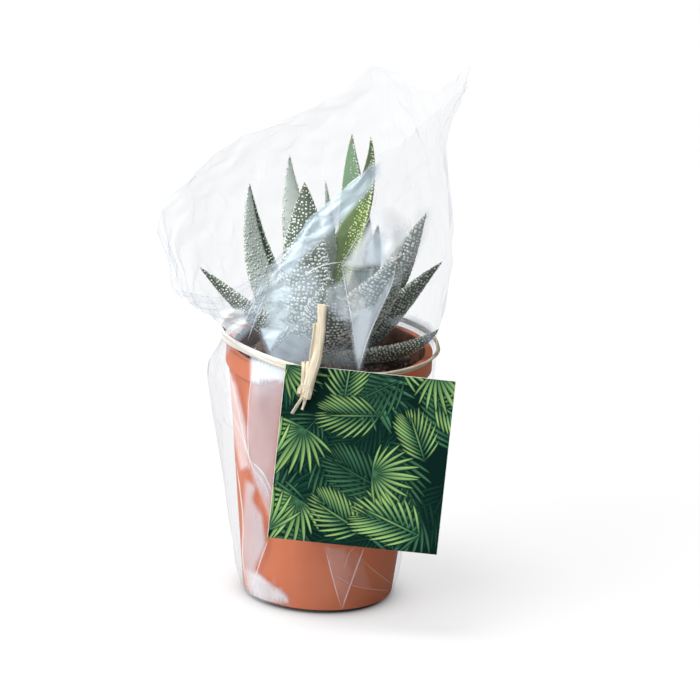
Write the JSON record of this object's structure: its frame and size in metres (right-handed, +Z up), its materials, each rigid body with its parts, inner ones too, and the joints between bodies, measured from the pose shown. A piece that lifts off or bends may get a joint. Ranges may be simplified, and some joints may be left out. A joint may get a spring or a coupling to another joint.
{
  "type": "potted haworthia",
  "caption": "Spotted haworthia rosette in a small tapered plastic pot, wrapped in a clear film sleeve that is tied at the rim with raffia and hung with a printed card.",
  "frame": {"origin": "middle of the film's flat underside, on the pot's axis, where the object stands", "axes": "+Z up along the pot's axis, -Y towards the front, where the card hangs"},
  "size_m": [0.0909, 0.0749, 0.1622],
  "materials": {
    "pot_plastic": "satin moulded terracotta-coloured plastic",
    "potting_soil": "damp crumbly peat",
    "stem": "smooth pale green",
    "leaf": "waxy dark green with raised white spots",
    "young_leaf": "waxy yellow-green with raised white spots",
    "clear_film": "glossy, clear and crackled by folds",
    "printed_card": "smooth printed card with a palm-leaf pattern",
    "raffia": "dry natural straw fibre"
  },
  "bodies": {
    "root": {"pot": "pot_plastic", "soil": "potting_soil", "stem": "stem", "leaf_tall_right": "young_leaf", "leaf_tall_back": "leaf", "leaf_heart_left": "leaf", "leaf_heart_front": "leaf", "leaf_front_left": "leaf", "leaf_front_right": "leaf", "leaf_mid_right": "leaf", "leaf_back_left": "leaf", "leaf_right": "leaf", "leaf_left": "leaf", "leaf_front": "leaf", "leaf_back": "leaf", "leaf_low_right": "leaf", "leaf_low_left": "leaf", "leaf_low_front_right": "leaf", "leaf_low_back_left": "leaf", "leaf_low_back_right": "leaf", "film_sleeve": "clear_film", "card": "printed_card", "raffia_tie": "raffia"}
  },
  "joints": []
}
